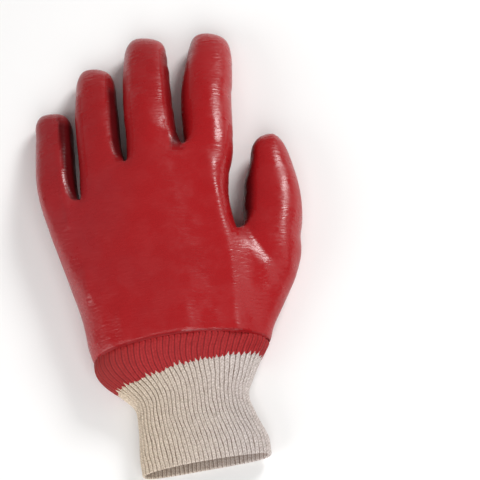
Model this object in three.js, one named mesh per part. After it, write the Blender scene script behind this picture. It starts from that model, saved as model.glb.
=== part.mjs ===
// A dipped work glove for the left hand, lying palm down and holding the shape of its former.
// A sewn cotton liner and a ribbed knit wrist are dipped together in red PVC. The coat covers
// the whole hand, runs a little way down the ribs and stops there in a ragged edge.
// Millimetres. +Y runs from the wrist opening to the fingertips, +X to the thumb, +Z up.
import * as THREE from "three";

// Walls and clearances
const COAT_WALL = 1.8; // cotton liner with the PVC coat over it
const MOUTH_WALL = 0.9; // the same wall where it thins out at the wrist seam
const MOUTH_TAPER = 14; // length over which the wall thins
const BAND_WALL = 0.9; // PVC that has soaked over the ribs
const KNIT_WALL = 2.4; // relaxed rib knit
const GAP = 0.3; // between one piece and the next

// Hand
const PALM_LENGTH = 118; // wrist seam to the base of the fingers, at the middle finger
const WRIST_WIDTH = 102.5; // across the seam
const WRIST_SHIFT = -1.2; // middle of the seam, towards the little finger
const WRIST_HEIGHT = 35; // top of the seam over the surface
const SEAM_RISE = 5; // how far the seam runs up the back of the hand
const SIDE_LEVEL = 0.42; // height at which the wrist is widest, as a share of its height
const SHOULDER_LEVEL = 0.84; // height at which its back turns down, as a share of the same
const KNUCKLE_SHIFT = -15.5; // middle of the knuckle row, towards the little finger
const WEB_GAP = 4.4; // between neighbouring fingers
const WEB_GROOVE = 1.5; // dip of the back and palm at each web

// Fingers, from the little finger to the index. Lengths run from root to tip, base is the height
// of the middle of the root, and set is how far along the palm it lies, as a share of its length.
// The angles are degrees. splay heads for the thumb and lean is its change to the tip, pitch slopes
// down at the root and curl is the further bend to the tip, roll turns the back of the finger to
// the thumb, and tipTurn sets the blunt end askew. shoulder squares the corner of the back that
// is nearer the thumb: 0.71 is round and 1 is square.
const FINGER_SIZES = [
  { length: 60.5, width: 21.5, thick: 20.5, base: 18.5, set: 0.83 },
  { length: 75, width: 24, thick: 22.5, base: 24, set: 0.93 },
  { length: 82, width: 28.5, thick: 25.5, base: 27.5, set: 1.0 },
  { length: 84, width: 28, thick: 25, base: 26, set: 0.97 },
];
const FINGER_ANGLES = [
  { splay: -1.5, lean: 6, pitch: 3, curl: 16, roll: -18, tipTurn: 8, shoulder: 1.0 },
  { splay: -3.5, lean: 8, pitch: 4, curl: 18, roll: -12, tipTurn: 16, shoulder: 0.94 },
  { splay: -2, lean: 7, pitch: 4, curl: 19, roll: -3, tipTurn: 14, shoulder: 0.86 },
  { splay: 0, lean: 9, pitch: 4, curl: 18, roll: 6, tipTurn: 6, shoulder: 0.8 },
];
const FINGERS = FINGER_SIZES.map((sizes, k) => ({ ...sizes, ...FINGER_ANGLES[k] }));

// Sections of a finger, as shares of its length, width and thickness
const FINGER_SECTIONS = [
  { along: 0.1, wide: 0.99, thick: 1.0 },
  { along: 0.27, wide: 1.0, thick: 1.0 },
  { along: 0.46, wide: 1.0, thick: 0.98 },
  { along: 0.64, wide: 0.96, thick: 0.95 },
];
// The blunt end. back is the distance short of the tip, as a share of half the width.
const TIP_SECTIONS = [
  { back: 0.85, wide: 0.92, thick: 0.9 },
  { back: 0.2, wide: 0.71, thick: 0.62 },
];
const WEB_REACH = 0.45; // share of the finger over which its sections turn square from the webs

// Where each web and the two ends of the knuckle row lie, as shares of the palm's length
const WEB_ALONG = [0.8, 0.745, 0.9, 0.965, 0.9];

// Thumb
const THUMB_LENGTH = 92; // root, inside the heel of the hand, to tip
const THUMB_WIDTH = 31;
const THUMB_THICK = 25;
const THUMB_ROOT = { side: 0.91, along: 0.29, height: 16 }; // shares of half the wrist and of the palm
const THUMB_SECTIONS = [
  { along: 0.25, wide: 1.2, thick: 1.16, heading: 21, turn: 27 },
  { along: 0.45, wide: 1.1, thick: 1.06, heading: 13, turn: 15 },
  { along: 0.64, wide: 1.03, thick: 1.0, heading: 9, turn: 6 },
];
const THUMB_TIP_HEADING = -8;
const THUMB_TIP_TURN = -10;
const THUMB_PITCH = 3; // slope down to the surface, degrees

// Rows of the palm. along is a share of the way from seam to knuckles, ridge and side are where the
// back turns down and where the thumb side stands, as shares of half the wrist's width, and swell,
// hollow and crest raise the back, the palm and the ridge, as shares of the wrist's height.
const PALM_ROWS = [
  { along: 0, ridge: 0.7, side: 1.0, swell: 0, hollow: -0.02, crest: 0 },
  { along: 0.1, ridge: 0.69, side: 1.1, swell: 0.03, hollow: -0.06, crest: 0.03 },
  { along: 0.31, ridge: 0.68, side: 1.15, swell: 0.06, hollow: -0.06, crest: 0.07 },
  { along: 0.55, ridge: 0.65, side: 0.76, swell: 0.05, hollow: 0.06, crest: 0.1 },
  { along: 0.73, ridge: 0.63, side: 0.68, swell: 0.03, hollow: 0.06, crest: 0.08 },
  { along: 0.88, ridge: 0.62, side: 0.7, swell: 0.01, hollow: 0.03, crest: 0.03 },
];
const THUMB_FIRST_ROW = 1; // the thumb grows out of the two rows from here

// Knit wrist
const CUFF_LENGTH = 62; // seam to hem, along the sides
const HEM_SKEW = 3; // how much longer the little-finger side is
const CUFF_TUCK = 4; // seam allowance inside the hand
const TUCK_SLOPE = 0.9; // how far the allowance leans in over that length
const KNIT_WIDTH = 72; // across the hem
const KNIT_HEIGHT = 24; // top of the hem over the surface
const RIBS = 60;
const RIB_DEPTH = 0.8;
const COATED_RIB_DEPTH = 0.4; // what is left of the groove under the coat
const BAND_NARROW = 9; // coated ribs on the thumb side
const BAND_WIDE = 20; // coated ribs on the little-finger side
const RAGGED = 0.9; // how far the coat's edge steps between a rib and its groove
// Sections of the cuff. along runs from seam to hem, mouth is how much of the section is still
// the hand's own opening, left and right are shares of KNIT_WIDTH, top a share of KNIT_HEIGHT.
const CUFF_ROWS = [
  { along: 0, mouth: 1, left: 0.6, right: 0.6, top: 1.4 },
  { along: 0.065, mouth: 0.6, left: 0.71, right: 0.57, top: 1.34 },
  { along: 0.14, mouth: 0.3, left: 0.695, right: 0.52, top: 1.22 },
  { along: 0.24, mouth: 0.1, left: 0.625, right: 0.48, top: 1.13 },
  { along: 0.32, mouth: 0, left: 0.535, right: 0.445, top: 1.07 },
  { along: 0.39, mouth: 0, left: 0.46, right: 0.415, top: 1.02 },
  { along: 0.5, mouth: 0, left: 0.445, right: 0.41, top: 0.98 },
  { along: 0.69, mouth: 0, left: 0.45, right: 0.46, top: 0.9 },
  { along: 0.86, mouth: 0, left: 0.465, right: 0.52, top: 0.82 },
  { along: 1, mouth: 0, left: 0.46, right: 0.52, top: 0.76 },
];
// The knit's own section is rounded over the top and squarer underneath. 2 would be an ellipse.
const TOP_ROUND = 2.3;
const BOTTOM_ROUND = 3.2;
// Levels of the coated ribs, as shares of the way from the seam to the coat's edge, and of the bare
// ribs and the inner face, as shares of the way from seam to hem
const COATED_LEVELS = [0.3, 0.65];
const BARE_LEVELS = [0.42, 0.52, 0.7, 0.86, 0.975];
const INNER_LEVELS = [1, 0.7, 0.4, 0.2, 0];

const RED_PVC = { color: 0xa4262a, roughness: 0.42, metalness: 0 };
const RED_RIBS = { color: 0x9c282c, roughness: 0.6, metalness: 0 };
const COTTON = { color: 0xcfc0b0, roughness: 0.95, metalness: 0 };

const lerp = (a, b, t) => a + (b - a) * t;
const radians = THREE.MathUtils.degToRad;
const point = (x, y, z) => new THREE.Vector3(x, y, z);

// A smooth surface drawn through a ring of control points lies inside it by this share.
const ringGain = (count) => 6 / (4 + 2 * Math.cos((2 * Math.PI) / count));

// Eight points round a section, clockwise as seen along its axis, starting on its left.
// CORNER sets the corners between those of a circle, 0.71, and of a square, 1.
const CORNER = 0.79;
const sectionPoints = (shoulder) => [
  [-1, 0],
  [-CORNER, CORNER],
  [0, 1],
  [shoulder, shoulder],
  [1, 0],
  [CORNER, -CORNER],
  [0, -1],
  [-CORNER, -CORNER],
];

function sectionRing(centre, axis, width, thick, roll, shoulder) {
  const right = point(axis.y, -axis.x, 0).normalize().applyAxisAngle(axis, roll);
  const up = right.clone().cross(axis);
  const points = sectionPoints(shoulder);
  const gain = ringGain(points.length) / 2;
  return points.map(([u, v]) =>
    centre
      .clone()
      .addScaledVector(right, u * width * gain)
      .addScaledVector(up, v * thick * gain),
  );
}

// A heading in plan, from +Y towards +X, and a slope down, as a direction
function direction(heading, slope) {
  const h = radians(heading);
  const s = radians(slope);
  return point(Math.sin(h) * Math.cos(s), Math.cos(h) * Math.cos(s), -Math.sin(s));
}

// The control cage: four-sided faces on shared vertices
class Cage {
  vertices = [];
  faces = [];

  add(vertex) {
    this.vertices.push(vertex);
    return this.vertices.length - 1;
  }

  // Joins two rings of vertex numbers with faces, and gives the second ring back.
  bridge(from, to, skip = () => false) {
    from.forEach((a, k) => {
      const next = (k + 1) % from.length;
      if (!skip(k)) this.faces.push([a, from[next], to[next], to[k]]);
    });
    return to;
  }

  // Closes an eight-point ring with four faces round a middle vertex.
  cap(ring, tip) {
    const middle = this.add(tip);
    for (let k = 0; k < ring.length; k += 2) {
      this.faces.push([ring[k], ring[k + 1], ring[(k + 2) % ring.length], middle]);
    }
  }
}

// Where the fingers stand side by side along the knuckle row
function placeFingers() {
  const widths = FINGERS.map((f) => f.width);
  const row = widths.reduce((a, b) => a + b) + WEB_GAP * (FINGERS.length - 1);
  let left = KNUCKLE_SHIFT - row / 2;
  return FINGERS.map((finger) => {
    const placed = { ...finger, left, middle: left + finger.width / 2, right: left + finger.width };
    left = placed.right + WEB_GAP;
    return placed;
  });
}

// The last ring of the palm: 20 points, clockwise from the little-finger side as seen along +Y,
// with the back's nine points first. Webs lie halfway between two fingers.
function knuckleRing(fingers) {
  const last = fingers.length - 1;
  const gain = ringGain(sectionPoints(CORNER).length);
  const row = [];
  for (let k = 0; k <= fingers.length; k += 1) {
    const before = fingers[Math.max(k - 1, 0)];
    const after = fingers[Math.min(k, last)];
    const end = k === 0 ? 1 : k > last ? -1 : 0;
    const inset = (1 - CORNER) * after.width * 0.5 * end;
    const half = ((before.thick + after.thick) / 4) * gain;
    const reach = end ? half * CORNER : half - WEB_GROOVE;
    row.push({
      x: end ? (end > 0 ? after.left : before.right) + inset : (before.right + after.left) / 2,
      y: WEB_ALONG[k] * PALM_LENGTH,
      middle: (before.base + after.base) / 2,
      reach,
    });
    if (k <= last) {
      const finger = fingers[k];
      row.push({
        x: finger.middle,
        y: finger.set * PALM_LENGTH,
        middle: finger.base,
        reach: (finger.thick / 2) * gain,
      });
    }
  }
  const side = (finger, x, k) => point(x, WEB_ALONG[k] * PALM_LENGTH, finger.base);
  return {
    back: row.map((p) => point(p.x, p.y, p.middle + p.reach)),
    palm: row.map((p) => point(p.x, p.y, p.middle - p.reach)),
    left: side(fingers[0], fingers[0].left, 0),
    right: side(fingers[last], fingers[last].right, last + 1),
  };
}

// One ring of the palm between the seam and the knuckles
function palmRing(row, knuckles) {
  const half = WRIST_WIDTH / 2;
  const gain = ringGain(20);
  const share = row.along * row.along * (3 - 2 * row.along);
  const first = knuckles.back[0];
  const last = knuckles.back[knuckles.back.length - 1];
  const left = lerp(WRIST_SHIFT - half * gain, knuckles.left.x, row.along);
  const corner = lerp(WRIST_SHIFT - half * CORNER, first.x, row.along);
  const middle = WRIST_HEIGHT * SIDE_LEVEL;
  const across = (p) => (p.x - first.x) / (last.x - first.x);
  const at = (p, wristHeight, raise) => {
    const t = across(p);
    const bow = 1 - (2 * t - 1) ** 2;
    const rise = SEAM_RISE * (1 - row.along) * (wristHeight > 0 ? 0.4 + 0.6 * bow : 0);
    return point(
      lerp(corner, WRIST_SHIFT + row.ridge * half, t),
      row.along * p.y + rise,
      lerp(wristHeight * lerp(SHOULDER_LEVEL, 1, bow), p.z, share) + raise * WRIST_HEIGHT * bow,
    );
  };
  const back = knuckles.back.map((p) => at(p, WRIST_HEIGHT * gain, row.swell));
  back.at(-1).z += row.crest * WRIST_HEIGHT;
  const palm = knuckles.palm.map((p) => at(p, 0, row.hollow));
  const sidePoint = (x, end) => point(x, row.along * end.y, lerp(middle, end.z, share));
  return [
    sidePoint(left, knuckles.left),
    ...back,
    sidePoint(WRIST_SHIFT + row.side * half * gain, knuckles.right),
    ...palm.reverse(),
  ];
}

// Carries a digit from its base ring through its sections to its tip. shape gives a section's
// heading, slope, turn of its plane and roll, in degrees.
function addDigit(cage, baseRing, start, digit, sections, shape) {
  const tipSections = TIP_SECTIONS.map((s) => ({
    ...s,
    along: 1 - (s.back * digit.width) / 2 / digit.length,
  }));
  const centre = start.clone();
  let reached = 0;
  let axis;
  let ring = baseRing;
  for (const section of [...sections, ...tipSections]) {
    const { heading, slope, turn, roll } = shape(section);
    axis = direction(heading, slope);
    centre.addScaledVector(axis, (section.along - reached) * digit.length);
    reached = section.along;
    const width = (digit.width * section.wide) / Math.cos(radians(turn));
    const plane = direction(heading + turn, slope);
    const thick = digit.thick * section.thick;
    const shoulder = lerp(digit.shoulder, CORNER, reached ** 6);
    const next = sectionRing(centre, plane, width, thick, radians(roll), shoulder);
    ring = cage.bridge(ring, next.map((v) => cage.add(v)));
  }
  // The smooth surface reaches four ninths of the way to the last vertex, so it stands proud.
  cage.cap(ring, centre.clone().addScaledVector(axis, ((1 - reached) * digit.length * 9) / 4));
}

// ends are where the webs on the finger's two sides lie along the palm, as shares of its length.
function addFinger(cage, finger, baseRing, ends) {
  const start = point(finger.middle, finger.set * PALM_LENGTH, finger.base);
  const rise = (ends[1] - ends[0]) * PALM_LENGTH;
  const webTurn = THREE.MathUtils.radToDeg(Math.atan2(rise, finger.width + WEB_GAP));
  addDigit(cage, baseRing, start, finger, FINGER_SECTIONS, ({ along }) => ({
    heading: finger.splay + finger.lean * along,
    slope: finger.pitch + finger.curl * along,
    turn: finger.tipTurn * along ** 4 - webTurn * Math.max(0, 1 - along / WEB_REACH) ** 2,
    roll: finger.roll * (1 - 0.4 * along),
  }));
}

function addThumb(cage, baseRing) {
  const half = WRIST_WIDTH / 2;
  const root = THUMB_ROOT;
  const start = point(root.side * half, root.along * PALM_LENGTH, root.height);
  const thumb = { length: THUMB_LENGTH, width: THUMB_WIDTH, thick: THUMB_THICK, shoulder: CORNER };
  addDigit(cage, baseRing, start, thumb, THUMB_SECTIONS, (section) => ({
    heading: section.heading ?? THUMB_TIP_HEADING,
    slope: THUMB_PITCH,
    turn: section.turn ?? THUMB_TIP_TURN,
    roll: 0,
  }));
}

// The whole hand as a cage, open at the wrist
function handCage() {
  const cage = new Cage();
  const fingers = placeFingers();
  const knuckles = knuckleRing(fingers);
  const palmRings = PALM_ROWS.map((row) => palmRing(row, knuckles));
  const lastRing = [knuckles.left, ...knuckles.back, knuckles.right, ...[...knuckles.palm].reverse()];
  const ridge = knuckles.back.length; // number of the ring's point where the back turns down
  const rows = [...palmRings, lastRing].map((ring) => ring.map((v) => cage.add(v)));
  const inThumb = (r, k) =>
    (r === THUMB_FIRST_ROW || r === THUMB_FIRST_ROW + 1) && (k === ridge || k === ridge + 1);
  for (let r = 0; r + 1 < rows.length; r += 1) {
    cage.bridge(rows[r], rows[r + 1], (k) => inThumb(r, k));
  }
  const knuckleRow = rows[rows.length - 1];
  const count = knuckleRow.length;
  const webs = [knuckleRow[0]];
  for (let k = 1; k < fingers.length; k += 1) {
    const top = cage.vertices[knuckleRow[1 + 2 * k]];
    const bottom = cage.vertices[knuckleRow[count - 1 - 2 * k]];
    webs.push(cage.add(top.clone().lerp(bottom, 0.5)));
  }
  webs.push(knuckleRow[ridge + 1]);
  fingers.forEach((finger, k) => {
    const top = 1 + 2 * k;
    const bottom = count - 1 - 2 * k;
    addFinger(cage, finger, [
      webs[k],
      knuckleRow[top],
      knuckleRow[top + 1],
      knuckleRow[top + 2],
      webs[k + 1],
      knuckleRow[bottom - 2],
      knuckleRow[bottom - 1],
      knuckleRow[bottom],
    ], [WEB_ALONG[k], WEB_ALONG[k + 1]]);
  });
  const [near, middle, far] = [0, 1, 2].map((k) => rows[THUMB_FIRST_ROW + k]);
  addThumb(cage, [
    far[ridge + 1],
    far[ridge],
    middle[ridge],
    near[ridge],
    near[ridge + 1],
    near[ridge + 2],
    middle[ridge + 2],
    far[ridge + 2],
  ]);
  return { cage: withoutLoose(cage), mouthCount: count };
}

// Drops vertices that no face uses, such as the one under the thumb. The wrist ring keeps its numbers.
function withoutLoose(cage) {
  const used = new Set(cage.faces.flat());
  const tidy = new Cage();
  const number = cage.vertices.map((v, k) => (used.has(k) ? tidy.add(v) : -1));
  tidy.faces = cage.faces.map((face) => face.map((k) => number[k]));
  return tidy;
}

// Each vertex's neighbours and the edges of a four-sided mesh
function topology(mesh) {
  const edges = new Map();
  const around = mesh.vertices.map(() => ({ next: new Set(), opposite: [], rim: new Set() }));
  mesh.faces.forEach((face, f) => {
    face.forEach((a, k) => {
      const b = face[(k + 1) % 4];
      const key = a < b ? `${a} ${b}` : `${b} ${a}`;
      if (!edges.has(key)) edges.set(key, { a, b, faces: [] });
      edges.get(key).faces.push(f);
      around[a].next.add(b);
      around[b].next.add(a);
      around[a].opposite.push({ face: f, vertex: face[(k + 2) % 4] });
    });
  });
  for (const { a, b, faces } of edges.values()) {
    if (faces.length === 1) {
      around[a].rim.add(b);
      around[b].rim.add(a);
    }
  }
  return { edges, around };
}

const sum = (vectors) => vectors.reduce((total, v) => total.add(v), point(0, 0, 0));
const mean = (vectors) => sum(vectors).divideScalar(vectors.length);

// One round of Catmull-Clark subdivision
function subdivide(mesh) {
  const { edges, around } = topology(mesh);
  const at = (k) => mesh.vertices[k];
  const middles = mesh.faces.map((face) => mean(face.map(at)));
  const made = new Cage();
  mesh.vertices.forEach((v, k) => {
    const { next, opposite, rim } = around[k];
    if (rim.size) {
      made.add(mean([...rim].map(at)).multiplyScalar(0.25).addScaledVector(v, 0.75));
      return;
    }
    const n = next.size;
    const faceMean = mean(opposite.map((o) => middles[o.face]));
    const edgeMean = mean([...next].map((m) => at(m).clone().lerp(v, 0.5)));
    made.add(
      faceMean
        .addScaledVector(edgeMean, 2)
        .addScaledVector(v, n - 3)
        .divideScalar(n),
    );
  });
  const faceVertex = middles.map((v) => made.add(v));
  const edgeVertex = new Map();
  for (const [key, { a, b, faces }] of edges) {
    const ends = [at(a), at(b)];
    const all = faces.length === 1 ? ends : [...ends, ...faces.map((f) => middles[f])];
    edgeVertex.set(key, made.add(mean(all)));
  }
  const between = (a, b) => edgeVertex.get(a < b ? `${a} ${b}` : `${b} ${a}`);
  mesh.faces.forEach((face, f) => {
    face.forEach((a, k) => {
      const before = between(face[(k + 3) % 4], a);
      made.faces.push([a, between(a, face[(k + 1) % 4]), faceVertex[f], before]);
    });
  });
  return made;
}

// Moves each vertex onto the smooth surface that further subdivision would reach.
function ontoLimit(mesh) {
  const { around } = topology(mesh);
  const at = (k) => mesh.vertices[k];
  const made = new Cage();
  made.faces = mesh.faces;
  mesh.vertices.forEach((v, k) => {
    const { next, opposite, rim } = around[k];
    if (rim.size) {
      made.add(sum([...rim].map(at)).addScaledVector(v, 4).divideScalar(6));
      return;
    }
    const n = next.size;
    made.add(
      sum([...next].map(at))
        .multiplyScalar(4)
        .add(sum(opposite.map((o) => at(o.vertex))))
        .addScaledVector(v, n * n)
        .divideScalar(n * (n + 5)),
    );
  });
  return made;
}

function vertexNormals(mesh) {
  const normals = mesh.vertices.map(() => point(0, 0, 0));
  for (const face of mesh.faces) {
    const [a, b, c, d] = face.map((k) => mesh.vertices[k]);
    const normal = c.clone().sub(a).cross(d.clone().sub(b));
    for (const k of face) normals[k].add(normal);
  }
  return normals.map((n) => n.normalize());
}

// The rim of an open mesh as a loop of vertex numbers, clockwise as seen along +Y
function rimLoop(mesh) {
  const onward = new Map();
  for (const { a, b, faces } of topology(mesh).edges.values()) {
    if (faces.length === 1) {
      const face = mesh.faces[faces[0]];
      const forward = face[(face.indexOf(a) + 1) % 4] === b;
      onward.set(forward ? a : b, forward ? b : a);
    }
  }
  const loop = [onward.keys().next().value];
  while (onward.get(loop[loop.length - 1]) !== loop[0]) loop.push(onward.get(loop[loop.length - 1]));
  return loop;
}

function geometryOf(vertices, triangles) {
  const geometry = new THREE.BufferGeometry();
  geometry.setAttribute(
    "position",
    new THREE.Float32BufferAttribute(vertices.flatMap((v) => v.toArray()), 3),
  );
  geometry.setIndex(triangles.flat());
  geometry.computeVertexNormals();
  return geometry;
}

// Gives an open skin a wall of its own: an inner skin, and a strip round the mouth between them.
function shellGeometry(skin, wallAt) {
  const normals = vertexNormals(skin);
  const count = skin.vertices.length;
  const inner = skin.vertices.map((v, k) => v.clone().addScaledVector(normals[k], -wallAt(v)));
  const triangles = [];
  const quad = (a, b, c, d) => triangles.push([a, b, c], [a, c, d]);
  for (const [a, b, c, d] of skin.faces) {
    quad(a, b, c, d);
    quad(d + count, c + count, b + count, a + count);
  }
  const rim = rimLoop(skin);
  rim.forEach((a, k) => {
    const b = rim[(k + 1) % rim.length];
    quad(b, a, a + count, b + count);
  });
  return geometryOf([...skin.vertices, ...inner], triangles);
}

// Resamples a closed loop at equal steps, starting at its leftmost point.
function evenLoop(loop, count) {
  const first = loop.reduce((best, p, k) => (p.x < loop[best].x ? k : best), 0);
  const turned = [...loop.slice(first), ...loop.slice(0, first)];
  const path = new THREE.CurvePath();
  turned.forEach((p, k) => path.add(new THREE.LineCurve3(p, turned[(k + 1) % turned.length])));
  return Array.from({ length: count }, (_, k) => path.getPointAt(k / count));
}

// The knit's own section
function knitSection(row) {
  const left = -row.left * KNIT_WIDTH;
  const right = row.right * KNIT_WIDTH;
  const height = row.top * KNIT_HEIGHT;
  const centre = point((left + right) / 2, 0, height * 0.45);
  const loop = [];
  const steps = 96;
  for (let k = 0; k < steps; k += 1) {
    const angle = Math.PI - (2 * Math.PI * k) / steps;
    const c = Math.cos(angle);
    const s = Math.sin(angle);
    const power = 2 / (s >= 0 ? TOP_ROUND : BOTTOM_ROUND);
    const reach = s >= 0 ? height - centre.z : centre.z;
    loop.push(
      point(
        centre.x + ((right - left) / 2) * Math.sign(c) * Math.abs(c) ** power,
        0,
        centre.z + reach * Math.sign(s) * Math.abs(s) ** power,
      ),
    );
  }
  return loop;
}

// The outer face of the band and the cuff. It takes a column round the wrist and a share from
// seam to hem, and gives the point and its outward direction.
function cuffFace(mouth, columns) {
  const mouthLoop = evenLoop(mouth, columns);
  const loops = CUFF_ROWS.map((row) => {
    const knit = evenLoop(knitSection(row), columns);
    return knit.map((p, k) => p.lerp(mouthLoop[k], row.mouth));
  });
  const columnCurves = mouthLoop.map((_, k) => loops.map((loop) => loop[k]));
  const wrap = (k) => (k + columns) % columns;
  const hem = (p) => -CUFF_LENGTH + (HEM_SKEW * p.x) / KNIT_WIDTH;
  const length = (k) => mouthLoop[k].y - hem(columnCurves[k].at(-1));
  const plain = (k, along) => {
    let row = 0;
    while (row + 2 < CUFF_ROWS.length && CUFF_ROWS[row + 1].along < along) row += 1;
    const t = (along - CUFF_ROWS[row].along) / (CUFF_ROWS[row + 1].along - CUFF_ROWS[row].along);
    const p = columnCurves[k][row].clone().lerp(columnCurves[k][row + 1], t);
    return point(p.x, mouthLoop[k].y - along * length(k), p.z);
  };
  return {
    at(k, along, inset) {
      const p = plain(k, along);
      const tangent = plain(wrap(k + 1), along).sub(plain(wrap(k - 1), along));
      const outward = point(-tangent.z, 0, tangent.x).normalize();
      return p.addScaledVector(outward, -inset);
    },
    length,
    // How far down the cuff the coat's edge lies over a column, as a share of the cuff
    edge(k) {
      const x = plain(k, 0.2).x - WRIST_SHIFT;
      const across = THREE.MathUtils.clamp(x / WRIST_WIDTH + 0.5, 0, 1);
      const depth = BAND_NARROW + (BAND_WIDE - BAND_NARROW) * (1 - across) ** 2;
      const step = ((k % 2 ? 1 : -1) + 0.4 * Math.sin(k * 1.7) + 0.45 * Math.sin(k * 0.61 + 1)) * RAGGED;
      return (mouthLoop[k].y + depth + step) / length(k);
    },
  };
}

// A closed tube through rings of points, from the outer top edge down, round the hem and back up
// inside. The inner rings may have half as many points.
function tubeGeometry(rings) {
  const vertices = [];
  const triangles = [];
  const numbers = rings.map((ring) => ring.map((v) => vertices.push(v) - 1));
  numbers.forEach((ring, r) => {
    const next = numbers[(r + 1) % numbers.length];
    const [a, b] = [ring.length, next.length];
    if (a === b) {
      ring.forEach((v, k) => {
        const m = (k + 1) % a;
        triangles.push([v, next[k], next[m]], [v, next[m], ring[m]]);
      });
    } else if (a === 2 * b) {
      next.forEach((v, k) => {
        const [p, q, s] = [2 * k, 2 * k + 1, (2 * k + 2) % a];
        const w = next[(k + 1) % b];
        triangles.push([ring[p], v, ring[q]], [ring[q], v, w], [ring[q], w, ring[s]]);
      });
    } else {
      ring.forEach((v, k) => {
        const [p, q, s] = [2 * k, 2 * k + 1, (2 * k + 2) % b];
        const w = ring[(k + 1) % a];
        triangles.push([v, next[p], next[q]], [v, next[q], w], [w, next[q], next[s]]);
      });
    }
  });
  return geometryOf(vertices, triangles);
}

const ribbed = (count, make) => Array.from({ length: count }, (_, k) => make(k));
const grooved = (k, depth) => (k % 2 ? depth : 0);
const every = (ring, step) => ring.filter((_, k) => k % step === 0);

function knitCuff(face, columns) {
  const under = BAND_WALL + GAP;
  const ring = (along, inset, depth) =>
    ribbed(columns, (k) => face.at(k, along(k), inset + grooved(k, depth)));
  const level = (along) => () => along;
  const plain = (along, inset) => every(ring(along, inset, 0), 2);
  const tuck = (inset) => {
    const lean = plain(level(0), inset + TUCK_SLOPE);
    return lean.map((v) => v.add(point(0, CUFF_TUCK, 0)));
  };
  const edge = (k) => face.edge(k) + GAP / face.length(k);
  return tubeGeometry([
    tuck(under),
    plain(level(0), under),
    ...COATED_LEVELS.map((share) => plain((k) => share * face.edge(k), under)),
    plain(edge, under),
    ring(edge, 0, RIB_DEPTH),
    ...BARE_LEVELS.map((along) => ring(level(along), 0, RIB_DEPTH)),
    ring(level(1), RIB_DEPTH, 0),
    ...INNER_LEVELS.map((along) => plain(level(along), KNIT_WALL)),
    tuck(KNIT_WALL),
  ]);
}

function dippedBand(face, columns) {
  const ring = (along, inset, depth) =>
    ribbed(columns, (k) => face.at(k, along(k), inset + grooved(k, depth)));
  const outside = (along) => ring(along, 0, COATED_RIB_DEPTH);
  const inside = (along) => every(ring(along, BAND_WALL, 0), 2);
  const seam = (k) => GAP / face.length(k);
  const rows = COATED_LEVELS.map((share) => (k) => share * face.edge(k));
  return tubeGeometry([
    outside(seam),
    ...rows.map(outside),
    outside(face.edge),
    inside(face.edge),
    ...rows.reverse().map(inside),
    inside(seam),
  ]);
}

function named(name, geometry, look) {
  const mesh = new THREE.Mesh(geometry, new THREE.MeshStandardMaterial(look));
  mesh.name = name;
  return mesh;
}

const { cage } = handCage();
const skin = ontoLimit(subdivide(cage));
for (const v of skin.vertices) v.z = Math.max(v.z, 0); // flattened where it lies on the surface
const wallAt = (v) =>
  lerp(MOUTH_WALL, COAT_WALL, THREE.MathUtils.smoothstep(v.y, 0, MOUTH_TAPER));
const mouth = rimLoop(skin).map((k) => skin.vertices[k]);
const columns = 2 * RIBS;
const face = cuffFace(mouth, columns);

const glove = new THREE.Group();
glove.add(named("coated_hand", shellGeometry(skin, wallAt), RED_PVC));
glove.add(named("dipped_band", dippedBand(face, columns), RED_RIBS));
glove.add(named("knit_cuff", knitCuff(face, columns), COTTON));

// The origin is the middle of the object's box, on the surface that it lies on.
const box = new THREE.Box3().setFromObject(glove);
const centre = box.getCenter(new THREE.Vector3());
glove.position.set(-centre.x, -centre.y, -box.min.z);

export default glove;
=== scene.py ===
import math

import bpy
import numpy as np
from mathutils import Matrix, Vector
from mathutils.bvhtree import BVHTree


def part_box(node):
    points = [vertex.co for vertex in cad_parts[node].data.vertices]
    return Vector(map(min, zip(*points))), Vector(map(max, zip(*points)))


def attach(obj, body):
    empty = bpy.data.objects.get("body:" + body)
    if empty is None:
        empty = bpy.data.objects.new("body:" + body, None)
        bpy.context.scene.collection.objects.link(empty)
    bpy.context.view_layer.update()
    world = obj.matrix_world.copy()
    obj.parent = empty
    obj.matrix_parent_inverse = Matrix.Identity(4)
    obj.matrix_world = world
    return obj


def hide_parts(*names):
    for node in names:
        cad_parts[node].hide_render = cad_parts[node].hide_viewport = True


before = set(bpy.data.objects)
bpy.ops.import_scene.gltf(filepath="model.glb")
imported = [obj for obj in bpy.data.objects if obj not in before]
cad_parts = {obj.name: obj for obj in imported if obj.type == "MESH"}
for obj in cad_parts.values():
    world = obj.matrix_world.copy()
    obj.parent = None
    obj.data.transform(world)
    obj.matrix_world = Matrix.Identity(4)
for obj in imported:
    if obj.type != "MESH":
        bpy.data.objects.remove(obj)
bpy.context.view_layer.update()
MM = 0.001  # tables of points and what places() gives are in mm, and Blender's own lengths in metres


# The camera. It looks down on the back of the hand from the wrist's side, from a metre away, and is
# turned a little, so that the glove leans as it does in the photograph.
VIEW_ELEVATION = math.radians(68)
VIEW_ROLL = math.radians(8)
VIEW_DISTANCE = 1.0
VIEW_TARGET = Vector((34.98, -6.19, 15.0)) * MM
VIEW_WIDTH = 268.8 * MM  # what the square picture spans at the glove
SENSOR = 36.0

view_back = Vector((0, -math.cos(VIEW_ELEVATION), math.sin(VIEW_ELEVATION)))
view_level = Vector((1, 0, 0))
view_rise = view_back.cross(view_level)
view_right = view_level * math.cos(VIEW_ROLL) - view_rise * math.sin(VIEW_ROLL)
view_up = view_level * math.sin(VIEW_ROLL) + view_rise * math.cos(VIEW_ROLL)
bpy.ops.object.select_all(action="DESELECT")
bpy.ops.object.camera_add()
camera = bpy.context.object
camera.data.sensor_width = SENSOR
camera.data.lens = SENSOR * VIEW_DISTANCE / VIEW_WIDTH
camera.matrix_world = Matrix.Translation(VIEW_TARGET + view_back * VIEW_DISTANCE) @ Matrix(
    (view_right, view_up, view_back)
).transposed().to_4x4()
bpy.context.scene.camera = camera


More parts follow.
